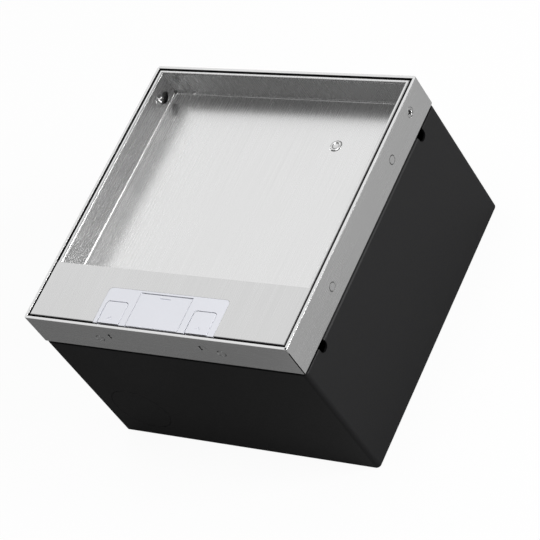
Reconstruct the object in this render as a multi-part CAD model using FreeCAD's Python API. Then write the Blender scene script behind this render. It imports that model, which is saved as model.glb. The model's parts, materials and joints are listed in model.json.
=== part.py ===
import FreeCAD, Part
import math
import os

# Floor socket box: a stainless trim frame with a recessed lid, over a black steel back box.
# Millimetres. X runs to the right, Y to the hinge side (back), Z up.
# The origin is the centre of the back box's underside.

V = FreeCAD.Vector
along_x = V(1, 0, 0)
along_y = V(0, 1, 0)
along_z = V(0, 0, 1)

# Trim frame
frame_size = 200.0           # outer width and depth, square
frame_height = 25.0
frame_sheet = 2.0
frame_bend = 2.0             # outer radius of its three bent corners
frame_edge_round = 0.3
seam_width = 0.35            # butt seam at the front right corner
seam_depth = 1.0
rivet_offset = 46.4          # flush rivets, from the middle of each side
rivet_below_top = 13.2
rivet_radius = 3.3
rivet_fit = 0.05
dimple_offset = 34.7         # pressed dimples in the front wall
dimple_below_top = 9.8
dimple_radius = 3.2
dimple_depth = 0.7

# Back box
box_height = 103.0
box_inset = 0.4              # its walls stand this far inside the frame's outer faces
box_sheet = 1.5
box_corner = 3.0
box_foot_round = 1.5
box_fold_round = 2.3         # outer radius where the side flanges are folded
box_rim_round = 0.8
side_flange = 18.0           # inward flanges that the frame is screwed to
end_flange = 6.0
notch_offset = 77.4          # bend relief notches beside the side flanges
notch_radius = 3.6
notch_depth = 6.5
end_flange_margin = 12.0
knockout_radius = 20.8
knockout_offset = 67.4       # from the box's middle, to the left seen from the front
knockout_height = 31.9
knockout_slit = 0.25
knockout_tab = 3.0
anchor_spacing_x = 110.0     # holes for screws into the slab
anchor_spacing_y = 150.0
anchor_radius = 3.25
frame_lift = 2.0             # gap between the box and the frame, taken up by the gasket
gasket_inset = 3.5
gasket_width = 5.0

# Lid
lid_gap = 1.0
lid_sheet = 1.5
hem_drop = 6.0
hem_round = 1.4
tray_depth = 20.0
tray_bend = 1.5              # inner radius where the tray's walls meet its floor
strip_reach = 40.0           # front strip, from the lid's front edge to the tray
strip_drop = 8.0
ear_setback = 2.0
corner_relief = 1.1
stiffener_width = 22.0
stiffener_height = 5.0
stiffener_sheet = 1.2
stiffener_lip = 7.0
stiffener_setback = 17.0     # from the tray's inner side wall
stiffener_from_back = 60.5
stiffener_pitch = 60.0

# Lid rest inside the frame
rest_sheet = 1.5
rest_height = 16.0
rest_side_ledge = 18.0
rest_front_ledge = 5.0
rest_pin_space = 10.0        # the rest stops this far in front of the hinge pins
seal_width = 4.0
seal_setback = 2.0
seal_clearance = 0.2

# Hinge pins in the inclined slots
pin_from_back = 20.7
pin_below_top = 9.2
barrel_radius = 3.8
barrel_running = 0.1
barrel_end_gap = 0.2
barrel_rim_round = 0.6
barrel_stand = 0.3           # its end stands this far out of the lid's inner wall
slot_travel = 7.5
slot_angle = 38.5            # below the level, towards the back
screw_radius = 2.0
screw_head_radius = 3.55
screw_running = 0.05
screw_reach = 3.0            # thread length inside the barrel

# Earthing stud on the tray floor
stud_from_right = 50.2
stud_from_back = 41.2
stud_radius = 3.0
stud_length = 10.0
stud_head_radius = 4.0
stud_head_height = 0.7

# Outlet plate with its two cable flaps and its handle
outlet_centre = 0.1
outlet_half = 45.9
outlet_reach = 25.8
outlet_corner = 3.0
outlet_fit = 0.12
outlet_drop = 7.6
outlet_lip = 2.5             # flange under the strip
outlet_lip_thickness = 1.6
outlet_screw_radius = 1.1
outlet_screw_head_radius = 2.1
outlet_screw_head_height = 1.4
outlet_ear_radius = 3.2
outlet_ear_reach = 2.5       # from the lip's edge to the ear's middle
outlet_ear_back = 4.0        # from the plate's back edge
outlet_ear_front = 5.5       # from the strip's fold
flaps_centre = -0.9          # the flaps and the handle sit a little to the left
flap_offset = 33.55
flap_width = 16.6
flap_reach = 16.2
flap_thickness = 2.0
flap_corner = 2.2
flap_gap = 0.3
flap_setback = 0.5
flap_ledge = 0.8
flap_rest_gap = 0.3
flap_round = 0.5
axis_inset = 0.9             # flap and handle axes, from the top and from the hinged edge
axis_radius = 0.5
axis_running = 0.04
axis_bearing = 1.6
handle_width = 39.4
handle_reach = 23.8
handle_thickness = 2.4
handle_back_gap = 0.7
handle_front_setback = 0.2
handle_rib = 2.0
handle_rib_drop = 2.2
handle_floor = 1.2
nail_slot_length = 8.2
nail_slot_width = 0.6
nail_slot_inset = 2.3
nail_slot_depth = 0.5
chevron_size = 1.9
chevron_width = 0.45
chevron_depth = 0.2
chevron_from_front = 4.2

# Levelling screws and their inserts
level_inset = 14.0           # from the frame's outer side face
level_offset = 60.0
level_radius = 2.0
level_hole_gap = 0.3
level_head_radius = 3.75
level_head_height = 1.4
level_reach = 13.5           # below the box's top
insert_radius = 3.0
insert_flange_radius = 4.5
insert_flange_height = 0.8
insert_length = 10.0
insert_running = 0.06

# Module carrier inside the box
carrier_height = 55.0
carrier_sheet = 2.0
carrier_side_room = 10.1     # from the carrier to the box's inner walls
carrier_back_room = 13.1
carrier_row_margin = 33.0    # from the rows' middles to the carrier's edges
carrier_front_margin = 35.0
carrier_corner = 3.0
row_spacing = 62.0
module_size = 45.0
module_gap = 0.2
window_gap = 0.2
module_lip = 1.5
cover_height = 2.0
stand_web_inset = 8.0        # from the carrier's side edge
stand_flange = 14.0
stand_sheet = 1.5
carrier_screw_inset = 5.0
carrier_screw_side = 4.0
carrier_screw_radius = 2.0
carrier_head_radius = 3.6
carrier_head_height = 2.2
divider_sheet = 1.2
divider_foot = 12.0
divider_gap = 0.5

# Socket outlets
cup_radius = 19.5
cup_wall = 1.4
cup_depth = 17.5
cup_floor = 1.5
housing_size = 43.0
housing_height = 18.0
pole_pitch = 19.0
pole_hole = 2.7
contact_radius = 3.3
contact_bore = 2.3
contact_length = 11.0
contact_floor = 2.5
clip_width = 5.0
clip_thickness = 0.8
clip_bite = 1.2              # how far the earth clips stand into the cup
clip_gap = 0.3
clip_top_gap = 2.0
shutter_length = 28.0
shutter_width = 15.0
shutter_thickness = 2.0
shutter_gap = 0.3
shutter_travel = 6.0
shutter_hole = 2.8
spring_sheet = 0.4
terminal_radius = 1.9
terminal_length = 4.0
terminal_pitch = 12.0
terminal_rise = 5.0          # above the housing's underside
terminal_head_radius = 2.9
terminal_head_height = 1.2
terminal_slot = 0.8

# Data outlets
port_pitch = 20.0
jack_width = 15.0
jack_depth = 16.4
jack_length = 28.0
jack_gap = 0.15
jack_sink = 0.6
port_width = 11.8
port_height = 8.2
port_depth = 13.0
port_contacts = 8
contact_pitch = 1.02
contact_wire = 0.4

# Earthing stud on the box floor
box_stud_x = -20.0
box_stud_room = 26.1         # from the box's inner front wall
box_stud_radius = 3.0
box_stud_length = 20.0
nut_across = 10.0
nut_height = 5.0
washer_radius = 6.0
washer_height = 1.6

# Levels and planes that follow from them
frame_half = frame_size / 2
frame_inner = frame_half - frame_sheet
frame_bottom = box_height + frame_lift
top = frame_bottom + frame_height
lid_half = frame_inner - lid_gap
lid_wall_out = lid_half - lid_sheet
lid_wall_in = lid_wall_out - lid_sheet
tray_floor = top - tray_depth
lid_bottom = tray_floor - lid_sheet
lid_front = -lid_half
strip_back = lid_front + strip_reach
box_half = frame_half - box_inset
box_inner = box_half - box_sheet
carrier_half_width = box_inner - carrier_side_room
carrier_back = box_inner - carrier_back_room
row_back = carrier_back - carrier_row_margin
row_front = row_back - row_spacing
carrier_front = row_front - carrier_front_margin
box_stud_y = box_stud_room - box_inner
shutter_room_back = row_back + shutter_width / 2 + shutter_travel + shutter_gap + spring_sheet
pin_y = frame_half - pin_from_back
pin_z = top - pin_below_top
slot_y = pin_y + slot_travel * math.cos(math.radians(slot_angle))
slot_z = pin_z - slot_travel * math.sin(math.radians(slot_angle))
rest_back = pin_y - rest_pin_space
ledge_top = frame_bottom + rest_sheet
ledge_inner = frame_inner - rest_side_ledge
rivet_z = top - rivet_below_top
level_x = frame_half - level_inset
outlet_back = lid_front + outlet_reach
cover_top = carrier_height + cover_height
cup_bottom = cover_top - cup_depth
housing_top = cup_bottom - cup_floor
housing_bottom = housing_top - housing_height
module_pitch = module_size + module_gap
row_half = 1.5 * module_pitch


def block(x0, x1, y0, y1, z0, z1):
    return Part.makeBox(x1 - x0, y1 - y0, z1 - z0, V(x0, y0, z0))


def rod(radius, start, axis, length):
    return Part.makeCylinder(radius, length, start, axis)


def upright_edges(shape):
    return [e for e in shape.Edges if e.BoundBox.XLength < 1e-6 and e.BoundBox.YLength < 1e-6]


def level_edges(shape, z):
    return [e for e in shape.Edges if e.BoundBox.ZLength < 1e-6 and abs(e.BoundBox.ZMin - z) < 1e-6]


def rounded_block(x0, x1, y0, y1, z0, z1, radius):
    shape = block(x0, x1, y0, y1, z0, z1)
    return shape.makeFillet(radius, upright_edges(shape))


def square_ring(half_out, half_in, z0, z1):
    outer = block(-half_out, half_out, -half_out, half_out, z0, z1)
    return outer.cut(block(-half_in, half_in, -half_in, half_in, z0 - 1, z1 + 1))


def fused(shapes):
    whole = shapes[0].multiFuse(shapes[1:]) if len(shapes) > 1 else shapes[0]
    return whole.removeSplitter()


def cut_all(shape, tools):
    return shape.cut(tools) if tools else shape


def moved(shape, x, y, z):
    copy = shape.copy()
    copy.translate(V(x, y, z))
    return copy


def hexagon(across, height, base):
    corner = across / math.sqrt(3)
    turns = [math.radians(60 * i) for i in range(7)]
    points = [base + V(corner * math.cos(t), corner * math.sin(t), 0) for t in turns]
    return Part.Face(Part.makePolygon(points)).extrude(V(0, 0, height))


# A cross recess cut into a screw head that faces along +Z, with its mouth at the given height.
def cross_recess(x, y, mouth, span, width, depth):
    arm = block(-span, span, -width / 2, width / 2, -depth, 1)
    cross = arm.fuse(arm.rotated(V(0, 0, 0), along_z, 90))
    return moved(cross, x, y, mouth)


# A slot with round ends through the side walls, from one centre to the other in the YZ plane.
def side_slot(x0, x1, start, end, radius):
    run = end - start
    across = V(0, -run.z, run.y).normalize() * radius
    corners = [start + across, end + across, end - across, start - across, start + across]
    middle = Part.Face(Part.makePolygon(corners)).extrude(V(x1 - x0, 0, 0))
    ends = [rod(radius, centre, along_x, x1 - x0) for centre in (start, end)]
    return moved(fused([middle] + ends), x0, 0, 0)


# Places of the flush rivets: (point on the frame's outer face, direction into the frame).
def rivet_places():
    places = []
    for offset in (-rivet_offset, rivet_offset):
        places.append((V(offset, -frame_half, rivet_z), along_y))
        places.append((V(frame_half, offset, rivet_z), -along_x))
        places.append((V(-frame_half, offset, rivet_z), along_x))
    return places


def level_places():
    return [(sx * level_x, sy * level_offset) for sx in (-1, 1) for sy in (-1, 1)]


def hinge_screw(extra):
    # Countersunk head flush with the frame's right face; extra is added to each radius.
    head_height = screw_head_radius - screw_radius
    head = Part.makeCone(
        screw_head_radius + extra, screw_radius + extra, head_height, V(frame_half, pin_y, pin_z), -along_x)
    shank_length = frame_sheet + barrel_end_gap + screw_reach
    return head.fuse(rod(screw_radius + extra, V(frame_half, pin_y, pin_z), -along_x, shank_length))


def both_sides(shape):
    return [shape, shape.mirror(V(0, 0, 0), along_x)]


def trim_frame():
    shape = square_ring(frame_half, frame_inner, frame_bottom, top)
    corners = [e for e in upright_edges(shape) if e.BoundBox.XMax > frame_inner + 1e-3
               or e.BoundBox.XMin < -frame_inner - 1e-3]
    bent = [e for e in corners if not (e.BoundBox.XMin > 0 and e.BoundBox.YMin < 0)]
    shape = shape.makeFillet(frame_bend, bent)
    rims = [e for e in level_edges(shape, top) + level_edges(shape, frame_bottom)
            if max(abs(e.CenterOfMass.x), abs(e.CenterOfMass.y)) > frame_inner + 0.5]
    shape = shape.makeFillet(frame_edge_round, rims)
    seam = block(-seam_width / 2, seam_width / 2, -1, seam_depth, frame_bottom - 1, top + 1)
    seam = seam.rotated(V(0, 0, 0), along_z, 45)
    tools = [moved(seam, frame_half, -frame_half, 0)]
    for point, inward in rivet_places():
        tools.append(rod(rivet_radius + rivet_fit, point - inward, inward, frame_sheet + 2))
    tools += both_sides(hinge_screw(screw_running))
    ball = (dimple_radius ** 2 + dimple_depth ** 2) / (2 * dimple_depth)
    for side in (-1, 1):
        centre = V(side * dimple_offset, -frame_half + dimple_depth - ball, top - dimple_below_top)
        tools.append(Part.makeSphere(ball, centre))
    return cut_all(shape, tools)


def rivets():
    length = frame_sheet + rest_sheet
    return [rod(rivet_radius, point, inward, length) for point, inward in rivet_places()]


# The angle inside the frame that carries the lid: left, front and right legs, open at the back.
def lid_rest():
    wall_top = frame_bottom + rest_height
    outer = block(-frame_inner, frame_inner, -frame_inner, rest_back, frame_bottom, wall_top)
    room = frame_inner - rest_sheet
    inside = block(-room, room, -room, rest_back + 1, ledge_top, wall_top + 1)
    hole = block(-ledge_inner, ledge_inner, -frame_inner + rest_front_ledge, rest_back + 1,
                 frame_bottom - 1, wall_top)
    tools = [inside, hole]
    for x, y in level_places():
        tools.append(rod(level_radius + level_hole_gap, V(x, y, frame_bottom - 1), along_z, rest_sheet + 2))
    for point, inward in rivet_places():
        tools.append(rod(rivet_radius + rivet_fit, point, inward, frame_sheet + rest_sheet + 1))
    return cut_all(outer, tools)


def rest_seal():
    out = frame_inner - rest_sheet - seal_setback
    height = lid_bottom - seal_clearance - ledge_top
    bars = []
    for side in (-1, 1):
        x0, x1 = sorted((side * out, side * (out - seal_width)))
        bars.append(block(x0, x1, strip_back, rest_back - 1, ledge_top, ledge_top + height))
    return bars


def frame_gasket():
    half = frame_half - gasket_inset
    return square_ring(half, half - gasket_width, box_height, frame_bottom)


def levelling_screws():
    pieces = []
    for x, y in level_places():
        foot = box_height - level_reach
        shank = rod(level_radius, V(x, y, foot), along_z, ledge_top - foot)
        head = rod(level_head_radius, V(x, y, ledge_top), along_z, level_head_height)
        recess = cross_recess(x, y, ledge_top + level_head_height, 2.0, 0.9, 1.0)
        pieces.append(fused([shank, head]).cut(recess))
    return pieces


def back_box():
    shape = rounded_block(-box_half, box_half, -box_half, box_half, 0, box_height, box_corner)
    shape = shape.makeFillet(box_foot_round, level_edges(shape, 0))
    inside = rounded_block(-box_inner, box_inner, -box_inner, box_inner, box_sheet, box_height + 1,
                           box_corner - box_sheet)
    inside = inside.makeFillet(max(box_foot_round - box_sheet, 0.3), level_edges(inside, box_sheet))
    shape = shape.cut(inside)
    flange_bottom = box_height - box_sheet
    flange_end = notch_offset - notch_radius
    reach = box_half - side_flange
    for side in (-1, 1):
        x0, x1 = sorted((side * (box_inner + 0.5), side * reach))
        shape = shape.fuse(block(x0, x1, -flange_end, flange_end, flange_bottom, box_height))
        end_half = box_half - end_flange_margin
        y0, y1 = sorted((side * (box_inner + 0.5), side * (box_half - end_flange)))
        shape = shape.fuse(block(-end_half, end_half, y0, y1, flange_bottom, box_height))
    shape = shape.removeSplitter()
    keep = block(-box_inner, box_inner, -box_half, box_half, 0, box_height + 2)
    low = box_height - notch_depth + notch_radius
    for sy in (-1, 1):
        notch = fused([
            rod(notch_radius, V(-box_half - 1, sy * notch_offset, low), along_x, 2 * box_half + 2),
            block(-box_half - 1, box_half + 1, sy * notch_offset - notch_radius,
                  sy * notch_offset + notch_radius, low, box_height + 1)])
        shape = shape.cut(notch.cut(keep))
    folds, rims = [], []
    for edge in level_edges(shape, box_height):
        x, y = abs(edge.CenterOfMass.x), abs(edge.CenterOfMass.y)
        if max(x, y) > box_inner + 0.1 and edge.Length > 2 * box_sheet:
            (folds if x > box_half - 0.01 and y < 1 else rims).append(edge)
    shape = shape.makeFillet(box_fold_round, folds)
    rims = [e for e in level_edges(shape, box_height) if any(e.CenterOfMass.isEqual(r.CenterOfMass, 1e-3) for r in rims)]
    shape = shape.makeFillet(box_rim_round, rims)
    tools = []
    for point, outward in knockout_places():
        tools.append(rod(knockout_radius, point - outward * 2 * box_sheet, outward, 3 * box_sheet))
    for x in (-anchor_spacing_x / 2, anchor_spacing_x / 2):
        for y in (-anchor_spacing_y / 2, anchor_spacing_y / 2):
            tools.append(rod(anchor_radius, V(x, y, -1), along_z, box_sheet + 2))
    for x, y in level_places():
        tools.append(rod(insert_radius, V(x, y, flange_bottom - 1), along_z, box_sheet + 2))
    tools.append(rod(box_stud_radius, V(box_stud_x, box_stud_y, -1), along_z, box_sheet + 2))
    return cut_all(shape, tools)


# Middles of the knock-outs on the box's outer faces, and the way out of the box there.
def knockout_places():
    return [
        (V(-knockout_offset, -box_half, knockout_height), -along_y),
        (V(knockout_offset, box_half, knockout_height), along_y),
        (V(-box_half, -knockout_offset, knockout_height), -along_x),
        (V(-box_half, knockout_offset, knockout_height), -along_x),
    ]


# Each disc is joined to the wall by two tabs, above and below.
def knockout_discs():
    pieces = []
    for point, outward in knockout_places():
        disc = rod(knockout_radius - knockout_slit, point, -outward, box_sheet)
        full = rod(knockout_radius, point, -outward, box_sheet)
        half = knockout_tab / 2
        across = V(abs(outward.y), abs(outward.x), 0) * half
        low = point - across - outward * box_sheet
        high = point + across
        tab = block(min(low.x, high.x), max(low.x, high.x), min(low.y, high.y), max(low.y, high.y),
                    point.z - 2 * knockout_radius, point.z + 2 * knockout_radius)
        pieces.append(fused([disc, full.common(tab)]))
    return pieces


def flange_inserts():
    pieces = []
    for x, y in level_places():
        body = rod(insert_radius, V(x, y, box_height - insert_length), along_z, insert_length)
        rim = rod(insert_flange_radius, V(x, y, box_height), along_z, insert_flange_height)
        bore = rod(level_radius + insert_running, V(x, y, 0), along_z, 2 * box_height)
        pieces.append(fused([body, rim]).cut(bore))
    return pieces


def box_earth_stud():
    return rod(box_stud_radius, V(box_stud_x, box_stud_y, 0), along_z, box_stud_length)


# Two nuts with a washer between them, on a stud whose seat is the given point.
def nut_stack(seat, radius, locked):
    bore = rod(radius, seat - V(0, 0, 1), along_z, 60)
    washer = rod(washer_radius, seat, along_z, washer_height)
    first = hexagon(nut_across, nut_height, seat + V(0, 0, washer_height))
    pieces = [washer.cut(bore), first.cut(bore)]
    if locked:
        second_base = seat + V(0, 0, washer_height + nut_height)
        pieces.append(rod(washer_radius, second_base, along_z, washer_height).cut(bore))
        pieces.append(hexagon(nut_across, nut_height, second_base + V(0, 0, washer_height)).cut(bore))
    return pieces


def box_earth_nuts():
    return nut_stack(V(box_stud_x, box_stud_y, box_sheet), box_stud_radius, True)


def lid_tray():
    ear_front = -lid_wall_out + ear_setback
    shape = block(-lid_wall_out, lid_wall_out, ear_front, lid_wall_out, lid_bottom, top)
    lower = [e for e in level_edges(shape, lid_bottom) if e.CenterOfMass.y > ear_front + 1]
    shape = shape.makeFillet(tray_bend + lid_sheet, lower)
    hem = block(-lid_half, lid_half, strip_back, lid_half, top - hem_drop, top)
    shape = shape.fuse(hem).removeSplitter()
    over = block(-frame_half, frame_half, -frame_half, strip_back, top - lid_sheet, top + 1)
    bay = block(-lid_wall_in, lid_wall_in, -frame_half, strip_back - lid_sheet, lid_bottom - 1, top + 1)
    shape = shape.cut([over, bay])
    pocket = block(-lid_wall_in, lid_wall_in, strip_back, lid_wall_in, tray_floor, top + 1)
    pocket = pocket.makeFillet(tray_bend, level_edges(pocket, tray_floor))
    shape = shape.cut(pocket)
    front_wall_top = block(-lid_wall_in, lid_wall_in, strip_back - lid_sheet, strip_back + 1,
                           top - lid_sheet, top + 1)
    shape = shape.cut(front_wall_top)
    rims = [e for e in level_edges(shape, top)
            if abs(e.CenterOfMass.y - strip_back) > 1e-3 and e.Length > 10]
    shape = shape.makeFillet(hem_round, rims)
    slot_radius = barrel_radius + barrel_running
    start = V(0, pin_y, pin_z)
    end = V(0, slot_y, slot_z)
    tools = [side_slot(-frame_half, -lid_wall_in + 0.5, start, end, slot_radius),
             side_slot(lid_wall_in - 0.5, frame_half, start, end, slot_radius)]
    for side in (-1, 1):
        corner = V(side * (lid_wall_in - corner_relief / 2), lid_wall_in - corner_relief / 2, lid_bottom - 1)
        tools.append(rod(corner_relief, corner, along_z, lid_sheet + 1 + tray_bend))
    x, y = stud_place()
    tools.append(rod(stud_radius, V(x, y, lid_bottom - 1), along_z, lid_sheet + 2))
    return cut_all(shape, tools)


def stud_place():
    return frame_half - stud_from_right, frame_half - stud_from_back


# Opening for the outlet plate: open to the front, with rounded back corners.
def outlet_plan(grow, z0, z1, front):
    x0 = outlet_centre - outlet_half - grow
    x1 = outlet_centre + outlet_half + grow
    shape = block(x0, x1, front, outlet_back + grow, z0, z1)
    back = [e for e in upright_edges(shape) if e.BoundBox.YMin > front + 1]
    return shape.makeFillet(outlet_corner, back)


def lid_strip():
    plate = block(-lid_half, lid_half, lid_front, strip_back, top - lid_sheet, top)
    fold = block(-lid_half, lid_half, lid_front, lid_front + lid_sheet, top - strip_drop, top)
    shape = plate.fuse(fold).removeSplitter()
    rims = [e for e in level_edges(shape, top) if e.CenterOfMass.y < strip_back - 1]
    shape = shape.makeFillet(lid_sheet * 0.6, rims)
    tools = [outlet_plan(outlet_fit, top - strip_drop - 1, top + 1, lid_front - 1)]
    for x, y in outlet_screw_places():
        tools.append(rod(outlet_screw_radius, V(x, y, top - lid_sheet), along_z, lid_sheet * 0.7))
    return cut_all(shape, tools)


def outlet_screw_places():
    x = outlet_half + outlet_lip + outlet_ear_reach
    ys = (outlet_back - outlet_ear_back, lid_front + lid_sheet + outlet_ear_front)
    return [(outlet_centre + side * x, y) for side in (-1, 1) for y in ys]


def flap_box(side, grow_side, grow_back, front, z0, z1):
    centre = flaps_centre + side * flap_offset
    half = flap_width / 2 + grow_side
    back = lid_front + flap_reach + grow_back
    shape = block(centre - half, centre + half, front, back, z0, z1)
    rear = [e for e in upright_edges(shape) if e.BoundBox.YMin > front + 1]
    return shape.makeFillet(flap_corner, rear)


def outlet_plate():
    bottom = top - outlet_drop
    shape = outlet_plan(0, bottom, top, lid_front)
    lip_top = top - lid_sheet
    lip_out = outlet_half + outlet_lip
    lip = block(outlet_centre - lip_out, outlet_centre + lip_out, lid_front + lid_sheet + 1,
                outlet_back + outlet_lip, lip_top - outlet_lip_thickness, lip_top)
    shape = shape.fuse(lip)
    for x, y in outlet_screw_places():
        ear = rod(outlet_ear_radius, V(x, y, lip_top - outlet_lip_thickness), along_z, outlet_lip_thickness)
        arm = block(min(x, outlet_centre), max(x, outlet_centre), y - outlet_ear_radius, y + outlet_ear_radius,
                    lip_top - outlet_lip_thickness, lip_top)
        shape = shape.fuse(ear).fuse(arm)
    shape = shape.removeSplitter()
    tools = []
    for side in (-1, 1):
        seat = top - flap_thickness - flap_rest_gap
        tools.append(flap_box(side, flap_gap, flap_gap, lid_front - 1, seat, top + 1))
        tools.append(flap_box(side, -flap_ledge, -flap_ledge, lid_front - 1, bottom - 1, top + 1))
    half = handle_width / 2 + flap_gap
    back = lid_front + handle_reach + handle_back_gap
    tools.append(block(flaps_centre - half, flaps_centre + half, lid_front - 1, back,
                       bottom + handle_floor, top + 1))
    for x, y in outlet_screw_places():
        tools.append(rod(outlet_screw_radius, V(x, y, 0), along_z, top + 10))
    tools += [rod(axis_radius, start, along_x, length) for start, length in flap_axes() + [handle_axis()]]
    return cut_all(shape, tools)


# Start and length of each flap's pin.
def flap_axes():
    half = flap_width / 2 + axis_bearing
    y = lid_front + flap_reach - axis_inset
    return [(V(flaps_centre + side * flap_offset - half, y, top - axis_inset), 2 * half)
            for side in (-1, 1)]


def handle_axis():
    half = handle_width / 2 + axis_bearing
    y = lid_front + handle_front_setback + axis_inset
    return V(flaps_centre - half, y, top - axis_inset), 2 * half


def flap_pins():
    return [rod(axis_radius, start, along_x, length) for start, length in flap_axes()]


def handle_pin():
    start, length = handle_axis()
    return rod(axis_radius, start, along_x, length)


def outlet_screws():
    pieces = []
    for x, y in outlet_screw_places():
        seat = top - lid_sheet - outlet_lip_thickness
        shank = rod(outlet_screw_radius, V(x, y, seat), along_z, outlet_lip_thickness + lid_sheet * 0.7)
        head = rod(outlet_screw_head_radius, V(x, y, seat - outlet_screw_head_height), along_z,
                   outlet_screw_head_height)
        pieces.append(fused([shank, head]))
    return pieces


# A raised arrow head whose tip points to the back.
def chevron(x, y):
    arm = block(-chevron_width / 2, chevron_width / 2, -chevron_size * 1.4, 0, 0, chevron_depth)
    arms = [arm.rotated(V(0, 0, 0), along_z, turn) for turn in (-45, 45)]
    tip = rod(chevron_width / 2, V(0, 0, 0), along_z, chevron_depth)
    return moved(fused(arms + [tip]), x, y, top)


def cable_flap(side):
    front = lid_front + flap_setback
    shape = flap_box(side, 0, 0, front, top - flap_thickness, top)
    hinge_edge = [e for e in level_edges(shape, top) + level_edges(shape, top - flap_thickness)
                  if e.CenterOfMass.y > lid_front + flap_reach - 1e-3]
    shape = shape.makeFillet(flap_round, hinge_edge)
    start, length = flap_axes()[0 if side < 0 else 1]
    shape = shape.cut(rod(axis_radius + axis_running, start, along_x, length))
    arrow = chevron(flaps_centre + side * flap_offset, lid_front + chevron_from_front + chevron_size / 2)
    sunk = moved(arrow, 0, 0, -chevron_depth)
    return shape.cut(sunk)


def lift_handle():
    front = lid_front + handle_front_setback
    back = lid_front + handle_reach
    half = handle_width / 2
    x0, x1 = flaps_centre - half, flaps_centre + half
    plate = block(x0, x1, front, back, top - handle_thickness, top)
    hinge_edge = [e for e in level_edges(plate, top) + level_edges(plate, top - handle_thickness)
                  if e.CenterOfMass.y < front + 1e-3]
    plate = plate.makeFillet(flap_round, hinge_edge)
    drop = top - handle_thickness - handle_rib_drop
    rib = block(x0 + 3, x1 - 3, back - handle_rib, back, drop, top - handle_thickness)
    start, length = handle_axis()
    slot_y0 = back - nail_slot_inset - nail_slot_width / 2
    nail = block(flaps_centre - nail_slot_length / 2, flaps_centre + nail_slot_length / 2,
                 slot_y0, slot_y0 + nail_slot_width, top - nail_slot_depth, top + 1)
    return fused([plate, rib]).cut([rod(axis_radius + axis_running, start, along_x, length), nail])


# Hat sections spot-welded under the tray floor.
def lid_stiffeners():
    half = lid_wall_in - stiffener_setback
    pieces = []
    for number in range(2):
        y = lid_wall_in - stiffener_from_back - number * stiffener_pitch
        outer = block(-half, half, y - stiffener_width / 2, y + stiffener_width / 2,
                      lid_bottom - stiffener_height, lid_bottom)
        inner_half = stiffener_width / 2 - stiffener_sheet
        hollow = block(-half - 1, half + 1, y - inner_half, y + inner_half,
                       lid_bottom - stiffener_height + stiffener_sheet, lid_bottom + 1)
        lips = []
        for side in (-1, 1):
            edge = y + side * stiffener_width / 2
            y0, y1 = sorted((edge, edge + side * stiffener_lip))
            lips.append(block(-half, half, y0, y1, lid_bottom - stiffener_sheet, lid_bottom))
        pieces.append(fused([outer.cut(hollow)] + lips))
    return pieces


def lid_earth_stud():
    x, y = stud_place()
    head = rod(stud_head_radius, V(x, y, tray_floor), along_z, stud_head_height)
    head = head.makeFillet(stud_head_height * 0.7, level_edges(head, tray_floor + stud_head_height))
    dish = rod(stud_head_radius * 0.62, V(x, y, tray_floor + stud_head_height * 0.55), along_z, 2)
    shank_length = lid_sheet + stud_length
    shank = rod(stud_radius, V(x, y, tray_floor - shank_length), along_z, shank_length)
    return fused([head.cut(dish), shank])


def lid_earth_nut():
    x, y = stud_place()
    bore = rod(stud_radius, V(x, y, 0), along_z, top)
    washer = rod(washer_radius, V(x, y, lid_bottom - washer_height), along_z, washer_height)
    nut = hexagon(nut_across, nut_height, V(x, y, lid_bottom - washer_height - nut_height))
    return [washer.cut(bore), nut.cut(bore)]


def hinge_barrels():
    start = frame_inner - barrel_end_gap
    length = start - lid_wall_in + barrel_stand
    barrel = rod(barrel_radius, V(start, pin_y, pin_z), -along_x, length)
    inner_face = start - length
    inner_rim = [e for e in barrel.Edges if abs(e.BoundBox.XMax - inner_face) < 1e-6]
    barrel = barrel.makeFillet(barrel_rim_round, inner_rim)
    recess = cross_recess(0, 0, 0, 2.3, 1.0, 0.9).rotated(V(0, 0, 0), along_y, -90)
    recess = moved(recess, inner_face, pin_y, pin_z)
    thread = rod(screw_radius, V(frame_half, pin_y, pin_z), -along_x, frame_sheet + barrel_end_gap + screw_reach)
    return both_sides(barrel.cut([recess, thread]))


def hinge_screws():
    recess = cross_recess(0, 0, 0, 1.9, 0.8, 1.2).rotated(V(0, 0, 0), along_y, 90)
    return both_sides(hinge_screw(0).cut(moved(recess, frame_half, pin_y, pin_z)))


def carrier_screw_places():
    x = carrier_half_width - carrier_screw_side
    ys = (carrier_front + carrier_screw_inset, carrier_back - carrier_screw_inset)
    return [(side * x, y) for side in (-1, 1) for y in ys]


def module_carrier():
    shape = rounded_block(-carrier_half_width, carrier_half_width, carrier_front, carrier_back,
                          carrier_height - carrier_sheet, carrier_height, carrier_corner)
    tools = []
    half = row_half + window_gap
    deep = module_size / 2 + window_gap
    for y in (row_back, row_front):
        tools.append(block(-half, half, y - deep, y + deep, 0, carrier_height + 1))
    for x, y in carrier_screw_places():
        tools.append(rod(carrier_screw_radius, V(x, y, 0), along_z, carrier_height + 1))
    return cut_all(shape, tools)


# Z-shaped stands, spot-welded to the box floor: foot inwards, head flange outwards under the carrier.
def carrier_stands():
    web = carrier_half_width - stand_web_inset
    seat = carrier_height - carrier_sheet
    foot = block(web - stand_flange, web, carrier_front, carrier_back, box_sheet, box_sheet + stand_sheet)
    wall = block(web - stand_sheet, web, carrier_front, carrier_back, box_sheet, seat)
    head = block(web - stand_sheet, carrier_half_width, carrier_front, carrier_back, seat - stand_sheet, seat)
    shape = fused([foot, wall, head])
    holes = [rod(carrier_screw_radius, V(x, y, seat - 8), along_z, 9) for x, y in carrier_screw_places() if x > 0]
    return both_sides(shape.cut(holes))


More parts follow.
